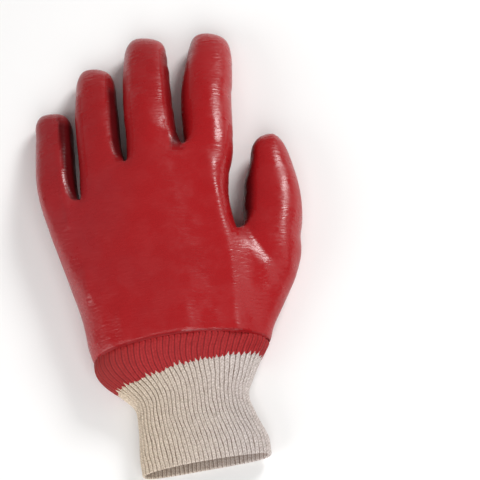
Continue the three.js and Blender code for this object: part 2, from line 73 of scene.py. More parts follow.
# The coated hand. A cotton jersey liner, sewn with its thumb set to the side, was dipped in red PVC,
# which cured to a soft semi-gloss skin that shows the fabric only as faint ripples in its highlights.
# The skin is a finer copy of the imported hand, and its creases and hollows are pressed into both faces.
SKIN_SLOT = 0
LINER_SLOT = 1
SHADE_SLOT = 2
HAND_LEVELS = 2
CAGE_PASSES = 4
CAGE_PULL = 0.85  # how much of what a corner lacks each pass puts back
CUT_FACING = -0.75  # the cut edge's faces look to the wrist at least this squarely
CUT_DEPTH = 8.0  # mm from the lowest point of the cut edge to its highest, at most
CUT_ROUND = 2.0  # mm from the cut edge to where the skin starts to round down to it
CUT_DROP = 0.4  # mm that the skin is lower at the cut edge
COAT_LIFT = 0.12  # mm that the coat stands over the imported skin
CUT_SEARCH = 20  # mm of the hand, from the seam's lowest point, where the cut edge is looked for
SEAM_FADE = 12  # mm from the seam's lowest point to where the swells are at their full height
SWELLS = ((0.16, 34, 3), (0.07, 13, 4))  # the coat's slow swells: height in mm, length in mm, seed
LINER_FLOOR = 1.2  # mm from the floor to the liner's inner face, at least
GAP_REACH = 8.0  # mm from a gap's middle line to where its painted shade fades out
SHADE_SLOT_FROM = 0.02  # painted shade from which a face has the material of the faces in painted shade
FOLD_HEIGHT = 12  # mm, the lowest place of a fold's edges
FOLD_REACH = 3.5  # mm from a fold's line to the edges that it keeps sharp
FOLD_START = 7  # mm along the finger, from where the fold starts to where it is sharp
FOLD_SHARPNESS = 0.9
PVC_BASE = "#9F1B1F"
# Ends of the coat's tone: random patches, and painted light that leaves it duller and browner towards the
# little finger and deeper towards the thumb
PVC_DULL = "#942328"
PVC_DEEP = "#A6161B"
# The dark red of the painted shade in the folds, on the gaps' walls and along the cut edge
PVC_PAINTED_SHADE = "#520B0F"
LINER_LIGHT = "#C9BBA6"
LINER_DARK = "#A3937C"
TONE_PATCH = 45.45 * MM  # size of the patches where the coat is a little darker
SHEEN_PATCH = 10.53 * MM  # size of the patches where it shines more
DIMPLE = 4.35 * MM  # size of the soft dimples that the dip leaves
JERSEY_PITCH = 1.25 * MM  # from one knitted course of the liner to the next
JERSEY_FUZZ = 0.667 * MM  # drawn coarser than the real fibres so that it shows
WAVE_BAND = 2 * math.pi / 20  # from band to band of a wave texture whose scale is 1

# Ridges and hollows of the back, by their lines in mm: half width, height, then the points
BACK_CREASES = {
    "index ridge": (6.0, 1.5, [(25, 30), (25.8, 4), (27.2, -12), (27.8, -30), (27, -53), (26.8, -66)]),
    "index side": (7.0, -1.0, [(37, -6), (38, -22), (38, -40), (37, -58)]),
    "thumb crease": (2.3, 0.6, [(37.8, -11.4), (40.7, -18.4), (46, -28.2), (49.2, -33.4), (52.2, -39.8)]),
    "crease end": (2.6, 1.4, [(46.5, -29), (49.2, -33.4), (53, -42)]),
    "thumb valley": (3.4, -1.6, [(40.8, -5), (43, -11), (46.2, -18), (51.2, -28), (55, -36)]),
    "crotch rise": (5.5, 0.7, [(32, -6), (35.5, -18)]),
    "thumb back": (7.0, 0.8, [(58.5, 38), (60.8, 24), (61.5, 8), (60.5, -12), (59.6, -26), (58.6, -41)]),
    "little ridge": (3.0, 0.6, [(-60.5, 62), (-60.1, 40), (-59, 24), (-57.6, 11)]),
    "little edge": (1.7, 0.5, [(-60.2, 44), (-59, 24), (-57.6, 11)]),
    "middle knuckle": (6.0, 1.5, [(-9.5, 80), (-5.5, 60)]),
    "middle shoulder": (3.2, 0.8, [(4.2, 71), (4.6, 50)]),
    "index knuckle": (6.0, 0.7, [(29.2, 84), (28.4, 46)]),
    "ring notch": (2.2, -0.8, [(-27.2, 99), (-27.2, 96)]),
    "left pucker": (3.4, 1.1, [(-51, -18), (-51.4, -32)]),
    "seam pucker": (4.2, 1.1, [(-34.4, -46), (-33.6, -60)]),
    "middle pucker": (4.0, 0.9, [(0.7, -50), (1.1, -60)]),
    "mid hollow": (12.0, -0.8, [(-14, 10), (-10, -24)]),
}

# Painted shade on the walls of the gaps between the fingers, which the neighbouring fingers keep from the
# light:
# the middle line of each gap in mm, then how dark the walls are that face left and right
SHADED_GAPS = {
    "little and ring": ([(-51.2, 24), (-51, 40), (-51, 90)], 0.05, 0.6),
    "ring and middle": ([(-22.8, 46), (-22.8, 100)], 0.05, 0.6),
    "middle and index": ([(10.8, 54), (11.5, 80), (13, 112)], 0.05, 0.75),
    "index and thumb": (
        [(36, -6), (37.5, 6), (39.3, 15), (40.5, 28), (41, 37), (41.8, 44), (43, 50), (44.6, 54), (50, 60)],
        1.0,
        0.05,
    ),
}

# The fold that each finger of the liner keeps towards the thumb: the finger's wall falls away from
# this line, and is painted in shade from it down to the gap. Places in mm, then the gap's middle.
FOLDS = {
    "little": ([(-55.2, 21), (-56.6, 28), (-57.6, 36), (-58.3, 46), (-59, 58), (-60, 72), (-61, 85)], -51.1),
    "ring": ([(-28.2, 46), (-29.4, 54), (-29.6, 66), (-29.2, 80), (-29.2, 93), (-29.6, 101)], -22.8),
    "middle": ([(3.8, 47), (5.0, 53), (6.1, 60), (6.2, 72), (6.8, 86)], 11.0),
}

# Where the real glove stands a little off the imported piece: a line of places, its reach and the way.
# The last number keeps a tug on one side of the gap beside the thumb: -1 is the fingers' side.
TUGS = {
    "edge by the wrist": ([(-53, -60), (-52, -68)], 12, (-2.6, 0, 0), 0),
    "little tip": ([(-72, 84), (-70, 87)], 8, (-1.2, 1.0, 0), 0),
    "little web": ([(-50.6, 26)], 4.5, (0.8, -1.4, 0), 0),
    "ring web": ([(-20, 45)], 4.5, (0, -1.6, 0), 0),
    "middle corner": ([(9, 117), (9, 112)], 5, (-1.6, -0.4, 0), 0),
    "middle side": ([(8.8, 106), (8.8, 78)], 5, (-1.2, 0, 0), 0),
    "middle root": ([(9, 68), (9.3, 60)], 5, (-1.3, 0, 0), 0),
    "middle web": ([(11, 51)], 4.5, (0, -1.9, 0), 0),
    "index tip": ([(22, 120), (20, 114)], 5, (0.8, -0.5, 0), 0),
    "index side": ([(14, 96), (13, 76)], 6, (-0.8, 0, 0), 0),
    "index edge": ([(42.5, 82), (42, 60)], 6, (-1.4, 0, 0), -1),
    "index root": ([(41.5, 50), (40, 40), (38, 32)], 6, (-1.9, 0, 0), -1),
    "thumb outer side": ([(69, 54), (73, 40), (76, 25), (75, 5), (72, -6)], 9, (-2.7, 0, 0), 1),
    "thumb ball": ([(70, -12), (66, -24)], 8, (-1.0, 0, 0), 1),
    "thumb tip": ([(42, 56), (42, 43)], 8, (3.4, 0, 0), 1),
    "thumb inner side": ([(45, 25), (43, 14)], 6, (-2.2, 0, 0), 1),
}


def to_linear(colour):
    """An sRGB hex value as the linear colour that a shader takes."""
    parts = [int(colour[k : k + 2], 16) / 255 for k in (1, 3, 5)]
    return tuple(c / 12.92 if c < 0.04045 else ((c + 0.055) / 1.055) ** 2.4 for c in parts) + (1.0,)


def add_node(tree, kind, settings=None, links=None):
    """Adds a node, sets its properties and inputs, and links its inputs to other nodes' outputs."""
    made = tree.nodes.new(kind)
    for name, value in (settings or {}).items():
        if isinstance(name, str) and hasattr(made, name):
            setattr(made, name, value)
        else:
            made.inputs[name].default_value = value
    for name, output in (links or {}).items():
        tree.links.new(output, made.inputs[name])
    return made


def new_material(name):
    """A material with an empty node tree, and that tree."""
    made = bpy.data.materials.new(name)
    made.use_nodes = True
    made.node_tree.nodes.clear()
    return made, made.node_tree


def pick(piece):
    """Leaves only this piece selected and active."""
    bpy.ops.object.select_all(action="DESELECT")
    piece.select_set(True)
    bpy.context.view_layer.objects.active = piece


def places(piece):
    """The vertices' places in mm."""
    flat = np.empty(len(piece.data.vertices) * 3)
    piece.data.vertices.foreach_get("co", flat)
    return flat.reshape(-1, 3) / MM


def put(piece, spots):
    """Moves the vertices to these places in mm."""
    piece.data.vertices.foreach_set("co", (spots * MM).ravel())
    piece.data.update()


def facings(piece):
    """The vertices' normals."""
    return np.array([v.normal[:] for v in piece.data.vertices])


def copy_of(node, name):
    """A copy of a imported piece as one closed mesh, mostly of quads, whose doubles are merged."""
    pick(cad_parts[node])
    bpy.ops.object.duplicate()
    piece = bpy.context.object
    piece.name = name
    for key in list(piece.keys()):
        del piece[key]
    piece.parent = None
    bpy.ops.object.mode_set(mode="EDIT")
    bpy.ops.mesh.select_all(action="SELECT")
    bpy.ops.mesh.remove_doubles(threshold=0.002 * MM)
    bpy.ops.mesh.tris_convert_to_quads(face_threshold=math.radians(60), shape_threshold=math.radians(60))
    bpy.ops.object.mode_set(mode="OBJECT")
    return piece


def line_reach(spots, line):
    """How far each place lies from a line of points, seen from above."""
    best = np.linalg.norm(spots[:, :2] - np.array(line[0], float), axis=1)
    for start, end in zip(line[:-1], line[1:]):
        a = np.array(start, float)
        along = np.array(end, float) - a
        share = np.clip(((spots[:, :2] - a) @ along) / (along @ along), 0, 1)
        best = np.minimum(best, np.linalg.norm(spots[:, :2] - a - share[:, None] * along, axis=1))
    return best


def tugged(spots):
    """These places, each moved by the tugs that reach it."""
    moved = spots.copy()
    gap_x, gap_y = np.array(SHADED_GAPS["index and thumb"][0]).T
    past_gap = spots[..., 0] - np.interp(spots[..., 1], gap_y, gap_x)
    for line, reach, way, side in TUGS.values():
        off = line_reach(spots.reshape(-1, 3), line).reshape(spots.shape[:-1]) / reach
        share = np.exp(-(off**2)) * (side * past_gap >= 0)
        moved += share[..., None] * np.array(way, float)
    return moved


def waves(spots, period, seed):
    """A smooth field of crossing waves, mostly between -1 and 1, with about this period in mm."""
    draw = np.random.default_rng(seed)
    total = np.zeros(len(spots))
    for _ in range(7):
        way = draw.normal(size=3)
        way /= np.linalg.norm(way)
        length = period * draw.uniform(0.7, 1.5)
        total += np.sin(spots @ way * 2 * math.pi / length + draw.uniform(0, 6.3))
    return total / 4


hand = copy_of("coated_hand", "pvc_coated_hand")
hand_mesh = hand.data
hand_mesh.materials.clear()
# The third material is for the faces darkened by painted shade.
for name in ("soft_red_pvc", "cotton_jersey_liner", "pvc_in_painted_shade"):
    hand_mesh.materials.append(new_material(name)[0])

# The coat covers the outer skin and the cut edge that faces the wrist. The skin is followed from its
# highest face, from neighbour to neighbour, as far as the cut edge. The rest is the liner.
seam_low = min(v.co.y for v in hand_mesh.vertices)
edge_faces = set()
for face in hand_mesh.polygons:
    if face.normal.y < CUT_FACING and face.center.y < seam_low + CUT_DEPTH * MM:
        edge_faces.add(face.index)
touching = {}
for face in hand_mesh.polygons:
    if face.index not in edge_faces:
        for v in face.vertices:
            touching.setdefault(v, []).append(face.index)
top_face = max(hand_mesh.polygons, key=lambda f: f.center.z).index
coated = {top_face}
front = [top_face]
while front:
    for v in hand_mesh.polygons[front.pop()].vertices:
        for neighbour in touching[v]:
            if neighbour not in coated:
                coated.add(neighbour)
                front.append(neighbour)
coated |= edge_faces
slots = [SKIN_SLOT if face.index in coated else LINER_SLOT for face in hand_mesh.polygons]
hand_mesh.polygons.foreach_set("material_index", slots)

# The finer skin shrinks off a plain copy's corners, so the corners are first pulled out until it
# passes through where they were. The edges along a finger's fold stay sharp in it.
corners = places(hand)
packed_facing = facings(hand)
sharp = hand_mesh.attributes.new("crease_edge", "FLOAT", "EDGE")
for edge in hand_mesh.edges:
    ends = corners[list(edge.vertices)]
    run = np.abs(ends[1] - ends[0])
    if ends[:, 2].min() < FOLD_HEIGHT or run[1] < 2 * run[0] or packed_facing[edge.vertices[0], 0] <= 0.1:
        continue
    for line, _ in FOLDS.values():
        if line_reach(ends, line).max() < FOLD_REACH and ends[:, 1].min() > line[0][1] + FOLD_START:
            sharp.data[edge.index].value = FOLD_SHARPNESS
edge_rings = [list(hand_mesh.polygons[k].vertices) for k in edge_faces]
cut_edge = BVHTree.FromPolygons(corners.tolist(), edge_rings)
pick(hand)
finer = hand.modifiers.new("finer skin", "SUBSURF")
finer.levels = HAND_LEVELS
finer.render_levels = HAND_LEVELS
for _ in range(CAGE_PASSES):
    grown = hand.evaluated_get(bpy.context.evaluated_depsgraph_get())
    put(hand, places(hand) + CAGE_PULL * (corners - places(grown)[: len(corners)]))
bpy.ops.object.modifier_apply(modifier=finer.name)

# Outward here is away from the fabric's middle: the liner's own faces point into the hollow.
spots = places(hand)
outward = facings(hand)
lining = np.zeros(len(spots), bool)
for face in hand_mesh.polygons:
    if face.material_index == LINER_SLOT:
        lining[list(face.vertices)] = True
outward[lining] *= -1

# The creases fade out round the hand's sides and low down on it, the skin rounds down to the cut
# edge, and slow swells keep the coat from being quite even.
back_share = np.clip(outward[:, 2] * 1.6, 0, 1) * np.clip((spots[:, 2] - 8) / 10, 0, 1)
lift = np.where(lining, 0.0, COAT_LIFT)
for width, height, line in BACK_CREASES.values():
    lift += height * back_share * np.exp(-((line_reach(spots, line) / width) ** 1.5))
off_edge = np.full(len(spots), np.inf)
for k in np.flatnonzero(spots[:, 1] < seam_low / MM + CUT_SEARCH):
    off_edge[k] = cut_edge.find_nearest(spots[k])[3]
lift -= np.where(lining, 0, CUT_DROP) * np.clip(1 - off_edge / CUT_ROUND, 0, 1) ** 2
off_seam = np.clip((spots[:, 1] - seam_low / MM) / SEAM_FADE, 0, 1)
lift += sum(height * waves(spots, period, seed) for height, period, seed in SWELLS) * off_seam
put(hand, spots + outward * lift[:, None])
spots = tugged(places(hand))
spots[:, 2] = np.maximum(spots[:, 2], np.where(lining, LINER_FLOOR, 0.0))
put(hand, spots)

# How deep the painted shade is, from 0 to 1: in a thin line along the cut edge, on the walls of the gaps,
# and past each finger's fold, where it fades out over some mm at the fold's two ends.
painted_shade = np.where(lining, 0, 0.5) * np.clip(1.1 - off_edge, 0, 1)
wall = np.clip((np.abs(outward[:, 0]) - 0.22) / 0.3, 0, 1)
for line, left_share, right_share in SHADED_GAPS.values():
    share = np.where(outward[:, 0] < 0, left_share, right_share)
    painted_shade = np.maximum(painted_shade, wall * share * np.exp(-((line_reach(spots, line) / GAP_REACH) ** 4)))
for line, gap in FOLDS.values():
    fold_x, fold_y = np.array(line).T
    past = (spots[:, 0] - np.interp(spots[:, 1], fold_y, fold_x) + 0.8) / 2.4
    ends = np.clip((spots[:, 1] - fold_y[0] + 6) / 8, 0, 1)
    ends *= np.clip((fold_y[-1] + 4 - spots[:, 1]) / 12, 0, 1)
    painted_shade = np.maximum(painted_shade, np.clip(past, 0, 1) * ends * (spots[:, 0] < gap) * (outward[:, 0] > 0))
shade_attribute = hand_mesh.attributes.new("painted_shade_amount", "FLOAT", "POINT")
shade_attribute.data.foreach_set("value", painted_shade)
for face in hand_mesh.polygons:
    if face.material_index == SKIN_SLOT and painted_shade[list(face.vertices)].min() > SHADE_SLOT_FROM:
        face.material_index = SHADE_SLOT
pick(hand)
bpy.ops.object.shade_smooth()

# Plasticised PVC, dipped and cured: an even saturated red with a soft sheen that comes and goes in
# patches, rippled by the courses of the liner under it. Painted shade darkens it along the cut edge,
# on the gaps' walls and past the folds, where it is also a little rougher: those faces, which lie too deep
# to mirror much of the room, have their own material.
for slot, mirrored in ((SKIN_SLOT, 0.42), (SHADE_SLOT, 0.1)):
    tree = hand_mesh.materials[slot].node_tree
    place = add_node(tree, "ShaderNodeTexCoord").outputs["Object"]
    where = add_node(tree, "ShaderNodeSeparateXYZ", None, {"Vector": place})
    patches = add_node(
        tree,
        "ShaderNodeTexNoise",
        {"Scale": 1 / TONE_PATCH, "Detail": 3.0, "Roughness": 0.5},
        {"Vector": place},
    )
    # Painted light from the thumb's side: on top of the random patches, the red turns duller and browner
    # towards the little finger and deeper towards the thumb.
    across = add_node(
        tree,
        "ShaderNodeMapRange",
        {"From Min": -75 * MM, "From Max": 30 * MM, "To Min": -0.3, "To Max": 0.35},
        {"Value": where.outputs["X"]},
    )
    strength = add_node(
        tree,
        "ShaderNodeMath",
        {"operation": "ADD"},
        {0: patches.outputs["Fac"], 1: across.outputs["Result"]},
    )
    tone = add_node(tree, "ShaderNodeValToRGB", None, {"Fac": strength.outputs["Value"]})
    tone.color_ramp.elements[0].position = 0.1
    tone.color_ramp.elements[0].color = to_linear(PVC_DULL)
    tone.color_ramp.elements[1].position = 0.95
    tone.color_ramp.elements[1].color = to_linear(PVC_DEEP)
    middle = tone.color_ramp.elements.new(0.5)
    middle.color = to_linear(PVC_BASE)
    # The painted shade, which mixes in its dark red and makes the coat a little rougher
    thick = add_node(tree, "ShaderNodeAttribute", {"attribute_name": "painted_shade_amount"})
    colour = add_node(
        tree,
        "ShaderNodeMix",
        {"data_type": "RGBA", 7: to_linear(PVC_PAINTED_SHADE)},
        {0: thick.outputs["Fac"], 6: tone.outputs["Color"]},
    )
    sheen_patches = add_node(
        tree,
        "ShaderNodeTexNoise",
        {"Scale": 1 / SHEEN_PATCH, "Detail": 3.0, "Roughness": 0.55},
        {"Vector": place},
    )
    gloss = add_node(
        tree,
        "ShaderNodeMapRange",
        {"From Min": 0.42, "From Max": 0.6, "To Min": 0.26, "To Max": 0.4},
        {"Value": sheen_patches.outputs["Fac"]},
    )
    duller = add_node(
        tree,
        "ShaderNodeMath",
        {"operation": "MULTIPLY_ADD", 1: 0.04},
        {0: thick.outputs["Fac"], 2: gloss.outputs["Result"]},
    )
    stretched = add_node(tree, "ShaderNodeMapping", {"Scale": (0.3, 1.0, 0.6)}, {"Vector": place})
    courses = add_node(
        tree,
        "ShaderNodeTexNoise",
        {"Scale": 0.9 / JERSEY_PITCH, "Detail": 2.0, "Roughness": 0.45},
        {"Vector": stretched.outputs["Vector"]},
    )
    ripples = add_node(
        tree, "ShaderNodeBump", {"Strength": 1.0, "Distance": 0.26 * MM}, {"Height": courses.outputs["Fac"]}
    )
    dimples = add_node(tree, "ShaderNodeTexNoise", {"Scale": 1 / DIMPLE, "Detail": 2.0}, {"Vector": place})
    dimpled = add_node(
        tree,
        "ShaderNodeBump",
        {"Strength": 0.5, "Distance": 0.22 * MM},
        {"Height": dimples.outputs["Fac"], "Normal": ripples.outputs["Normal"]},
    )
    skin = add_node(
        tree,
        "ShaderNodeBsdfPrincipled",
        {"Specular IOR Level": mirrored, "Coat Weight": 0.19 * mirrored, "Coat Roughness": 0.18},
        {
            "Base Color": colour.outputs[2],
            "Roughness": duller.outputs["Value"],
            "Normal": dimpled.outputs["Normal"],
            "Coat Normal": dimpled.outputs["Normal"],
        },
    )
    add_node(tree, "ShaderNodeOutputMaterial", None, {"Surface": skin.outputs["BSDF"]})

# Unbleached cotton jersey, the liner's inner face: matt and soft, in fine rows of loops.
tree = hand_mesh.materials[LINER_SLOT].node_tree
place = add_node(tree, "ShaderNodeTexCoord").outputs["Object"]
loops = add_node(
    tree,
    "ShaderNodeTexWave",
    {"bands_direction": "Y", "Scale": WAVE_BAND / JERSEY_PITCH, "Distortion": 1.5, "Detail": 1.0},
    {"Vector": place},
)
fibres = add_node(tree, "ShaderNodeTexNoise", {"Scale": 1 / JERSEY_FUZZ, "Detail": 3.0}, {"Vector": place})
shade = add_node(tree, "ShaderNodeValToRGB", None, {"Fac": fibres.outputs["Fac"]})
shade.color_ramp.elements[0].color = to_linear(LINER_DARK)
shade.color_ramp.elements[1].color = to_linear(LINER_LIGHT)
bump = add_node(
    tree, "ShaderNodeBump", {"Strength": 0.6, "Distance": 0.25 * MM}, {"Height": loops.outputs["Fac"]}
)
jersey = add_node(
    tree,
    "ShaderNodeBsdfPrincipled",
    {"Roughness": 0.95, "Specular IOR Level": 0.15, "Sheen Weight": 0.15},
    {"Base Color": shade.outputs["Color"], "Normal": bump.outputs["Normal"]},
)
add_node(tree, "ShaderNodeOutputMaterial", None, {"Surface": jersey.outputs["BSDF"]})

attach(hand, "root")
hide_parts("coated_hand")


# The wrist's shape. The ribbed wrist hangs from the seam, pulled in below it by its own stretch, so
# the band and the cuff share one face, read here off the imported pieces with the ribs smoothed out.
RIBS = 66
RIB_COLUMNS = 10
COLUMNS = RIBS * RIB_COLUMNS
FACE_ROWS = 64
PACKED_RIBS = 60
PACKED_STEPS = 16  # places that are read across each packed rib
ANGLES = 720
RIM_WINDOW = math.radians(3.2)  # how far to each side of an angle a packed rim is read there
RIM_SMOOTHING = 23  # angles
SEAM_MIDDLE = 0.42  # height of the wrist's middle line at the seam, as a share of its top's
HEM_MIDDLE = 0.45  # and at the hem
HEM_DEPTH = 6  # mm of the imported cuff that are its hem
MIDDLE_PACE = 1.6  # how much sooner the middle line is at the hem's place than the sides are
RAY_START = 120  # mm out from the middle line
FACE_SPAN = (0.03, 0.975)  # shares of the way from seam to hem between which the rays read the face
CROWN = 0.35  # mm that the ribs' crowns stand out of their smoothed face
CROWN_ROUND = 0.22  # how much of the crowns' flat top is rounded off
GROOVE_WIDTH = 0.17  # of a rib
RIB_SIZES = (0.85, 1.15)  # the shallowest and the deepest ribs
EDGE_SHARE = 0.2  # about how far down the wrist the coat's edge lies
EDGE_WINDOW = math.radians(5)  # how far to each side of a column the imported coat's edge is read
EDGE_SMOOTHING = 61  # columns
TEETH_RISE = 1.1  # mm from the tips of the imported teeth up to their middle
TEETH_DROP = 0.5  # mm that the new teeth hang below that
SPIKE_WIDTH = 0.14  # of a rib, for the bare tip that each rib sends up between two teeth
SPIKE_LENGTHS = (0.1, 2.1)  # mm
FRAY = 0.5  # mm
FLOOR_GAP = 0.05  # mm

# How the ribs wander sideways: how far in mm, how fast down the wrist, then how this shifts round it.
RIB_SWAYS = ((0.16, 9, 3, 2, 0.7), (0.14, 23, 4, 5, 2.1), (0.10, 47, 5, 9, 1.3))

wrist_points = []
wrist_faces = []
for node in ("dipped_band", "knit_cuff"):
    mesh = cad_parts[node].data
    start = len(wrist_points)
    wrist_points += [v.co / MM for v in mesh.vertices]
    wrist_faces += [[start + v for v in f.vertices] for f in mesh.polygons]
wrist_tree = BVHTree.FromPolygons(wrist_points, wrist_faces)
turns = np.linspace(-math.pi, math.pi, ANGLES, endpoint=False)


def turned_off(angles, angle):
    """How far each of these angles is from this one, the shorter way round."""
    return np.abs((angles - angle + math.pi) % (2 * math.pi) - math.pi)


def smooth_ring(values, width):
    """A ring of numbers smoothed over this many of them, which is odd."""
    kernel = np.hanning(width + 2)[1:-1]
    kernel /= kernel.sum()
    half = width // 2
    return np.convolve(np.r_[values[-half:], values, values[:half]], kernel, "valid")


def rim_heights(node, furthest, hub, reach):
    """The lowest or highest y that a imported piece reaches, at each angle round the wrist's oval."""
    spread = places(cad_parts[node])
    turn = np.arctan2((spread[:, 2] - hub[1]) / reach[1], (spread[:, 0] - hub[0]) / reach[0])
    found = [furthest(spread[turned_off(turn, angle) < RIM_WINDOW, 1]) for angle in turns]
    return smooth_ring(np.array(found), RIM_SMOOTHING)


seam_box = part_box("dipped_band")
seam_hub = np.array([(seam_box[0].x + seam_box[1].x) / 2, SEAM_MIDDLE * seam_box[1].z]) / MM
seam_reach = np.array([(seam_box[1].x - seam_box[0].x) / 2, 0.5 * seam_box[1].z]) / MM
hem = places(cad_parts["knit_cuff"])
hem = hem[hem[:, 1] < hem[:, 1].min() + HEM_DEPTH]
hem_hub = np.array([(hem[:, 0].min() + hem[:, 0].max()) / 2, HEM_MIDDLE * hem[:, 2].max()])
hem_reach = np.array([np.ptp(hem[:, 0]) / 2, 0.5 * hem[:, 2].max()])
seam_y = rim_heights("dipped_band", np.max, seam_hub, seam_reach)
hem_y = rim_heights("knit_cuff", np.min, hem_hub, hem_reach)


def wrist_loop(share):
    """One loop round the wrist, at this share of the way from seam to hem. It runs from the left end
    under the hand to the right end, and back over it."""
    hub = seam_hub + (hem_hub - seam_hub) * min(1, share * MIDDLE_PACE)
    reach = seam_reach + (hem_reach - seam_reach) * share
    level = seam_y + (hem_y - seam_y) * share
    found = []
    for turn, y in zip(turns, level):
        way = Vector((math.cos(turn) * reach[0], 0, math.sin(turn) * reach[1])).normalized()
        far_off = Vector((hub[0], y, hub[1])) + way * RAY_START
        found.append(wrist_tree.ray_cast(far_off, -way)[0][:])
    return np.array(found)


def even(loop, count):
    """A closed loop as this many points in even steps, from its first point."""
    closed = np.vstack([loop, loop[:1]])
    run = np.r_[0, np.cumsum(np.linalg.norm(np.diff(closed, axis=0), axis=1))]
    dense = np.linspace(0, run[-1], count, endpoint=False)
    return np.stack([np.interp(dense, run, closed[:, k]) for k in range(3)], axis=1)


def rounded(rows, kernel, axis):
    """These rows of points smoothed along an axis: 0 is down the wrist, 1 is round it. What the first
    pass takes off the bends is smoothed too, and put back."""
    half = len(kernel) // 2

    def smooth(grid):
        if axis == 1:
            padded = np.concatenate([grid[:, -half:], grid, grid[:, :half]], axis=1)
        else:
            before = 2 * grid[:1] - grid[half:0:-1]
            after = 2 * grid[-1:] - grid[-2 : -half - 2 : -1]
            padded = np.concatenate([before, grid, after])
        return sum(w * np.take(padded, range(k, k + grid.shape[axis]), axis) for k, w in enumerate(kernel))

    once = smooth(rows)
    return once + smooth(rows - once)


# The face in rows from seam to hem, each from the left end over the back. A packed rib's width of
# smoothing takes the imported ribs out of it.
face_shares = np.linspace(*FACE_SPAN, FACE_ROWS)
wrist = np.array([even(wrist_loop(share)[::-1], PACKED_STEPS * PACKED_RIBS) for share in face_shares])
rib_wide = np.convolve(np.ones(PACKED_STEPS) / PACKED_STEPS, np.ones(PACKED_STEPS + 1) / (PACKED_STEPS + 1))
wrist = rounded(wrist, rib_wide, 1)
few_rows = np.exp(-0.5 * (np.arange(-9, 10) / 3.2) ** 2)
wrist = rounded(wrist, few_rows / few_rows.sum(), 0)
wrist = tugged(np.array([even(loop, COLUMNS) for loop in wrist]))
along_wrist = np.roll(wrist, -1, axis=1) - np.roll(wrist, 1, axis=1)
along_wrist /= np.linalg.norm(along_wrist, axis=2)[..., None]
out_wrist = np.stack([-along_wrist[..., 2], np.zeros(along_wrist.shape[:2]), along_wrist[..., 0]], axis=2)
out_wrist /= np.linalg.norm(out_wrist, axis=2)[..., None]
wrist_length = np.linalg.norm(wrist[-1] - wrist[0], axis=1)  # mm, per column


def on_wrist(share, inset, sway):
    """A ring of points on the wrist's face. Each argument is one number or one per column: the share
    of the way from seam to hem, then mm inwards from the crowns and mm sideways."""
    share = np.broadcast_to(np.asarray(share, float), COLUMNS)
    row = np.clip((share - face_shares[0]) / (face_shares[1] - face_shares[0]), 0, FACE_ROWS - 1.001)
    low = row.astype(int)
    part = (row - low)[:, None]
    k = np.arange(COLUMNS)
    spot = wrist[low, k] * (1 - part) + wrist[low + 1, k] * part
    outward = out_wrist[low, k] * (1 - part) + out_wrist[low + 1, k] * part
    sideways = along_wrist[low, k]
    spot = spot - outward * (np.broadcast_to(inset, COLUMNS)[:, None] - CROWN)
    spot = spot + sideways * np.broadcast_to(sway, COLUMNS)[:, None]
    past = share - np.clip(share, face_shares[0], face_shares[-1])
    spot[:, 1] -= past * wrist_length
    spot[:, 2] = np.maximum(spot[:, 2], FLOOR_GAP)
    return spot


# The ribs, flat-topped with a narrow groove between each two, as how deep each column lies: from 0 on
# a rib's middle to about 1.2 down in a groove.
rib_share = (np.arange(COLUMNS) % RIB_COLUMNS) / RIB_COLUMNS
off_groove = np.minimum(rib_share, 1 - rib_share)
rib_groove = np.exp(-((off_groove / GROOVE_WIDTH) ** 2))
rib_groove += CROWN_ROUND * (1 - np.sin(math.pi * rib_share)) ** 2
rib_draw = np.random.default_rng(11)
rib_size = np.repeat(rib_draw.uniform(*RIB_SIZES, RIBS), RIB_COLUMNS)


def sway_of(share):
    """How far the ribs wander sideways, in mm, at a share of the way down."""
    turn = 2 * math.pi * np.arange(COLUMNS) / COLUMNS
    return sum(
        size * np.sin(pace * share + shift * np.sin(turn * times + start))
        for size, pace, shift, times, start in RIB_SWAYS
    )


# Where the coat's edge lies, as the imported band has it, with its rib-by-rib teeth put on anew.
band_spread = places(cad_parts["dipped_band"])
band_turn = np.arctan2(band_spread[:, 2] - seam_hub[1], band_spread[:, 0] - seam_hub[0])
upper_ring = wrist[int(EDGE_SHARE * FACE_ROWS)]
column_turn = np.arctan2(upper_ring[:, 2] - seam_hub[1], upper_ring[:, 0] - seam_hub[0])
teeth_y = [band_spread[turned_off(band_turn, angle) < EDGE_WINDOW, 1].min() for angle in column_turn]
edge_y = smooth_ring(np.array(teeth_y) + TEETH_RISE, EDGE_SMOOTHING)
coat_edge = (wrist[0, :, 1] - edge_y) / wrist_length
spike = np.exp(-(((rib_share - 0.5) / SPIKE_WIDTH) ** 2))
spike *= np.repeat(rib_draw.uniform(*SPIKE_LENGTHS, RIBS), RIB_COLUMNS)
fray = smooth_ring(rib_draw.normal(0, FRAY, COLUMNS), 3)
coat_edge = coat_edge + (TEETH_DROP - spike + fray) / wrist_length


def ring_piece(name, rings):
    """A closed ring-shaped mesh through these rings of points: a grid that is rolled up both ways.
    Its UV map holds the place among the ribs, and each row's own number."""
    rows = len(rings)
    bpy.ops.object.select_all(action="DESELECT")
    bpy.ops.mesh.primitive_grid_add(x_subdivisions=COLUMNS, y_subdivisions=rows, size=0.1)
    piece = bpy.context.object
    piece.name = name
    sheet = np.stack(rings + rings[:1])
    put(piece, np.concatenate([sheet, sheet[:, :1]], axis=1).reshape(-1, 3))
    ribs = piece.data.uv_layers[0]
    ribs.name = "ribs"
    uv = np.empty(len(piece.data.loops) * 2)
    ribs.data.foreach_get("uv", uv)
    ribs.data.foreach_set("uv", (uv.reshape(-1, 2) * (RIBS, rows)).ravel())
    pick(piece)
    bpy.ops.object.mode_set(mode="EDIT")
    bpy.ops.mesh.select_all(action="SELECT")
    bpy.ops.mesh.remove_doubles(threshold=0.001 * MM)
    bpy.ops.mesh.normals_make_consistent(inside=False)
    bpy.ops.object.mode_set(mode="OBJECT")
    bpy.ops.object.shade_smooth()
    return piece


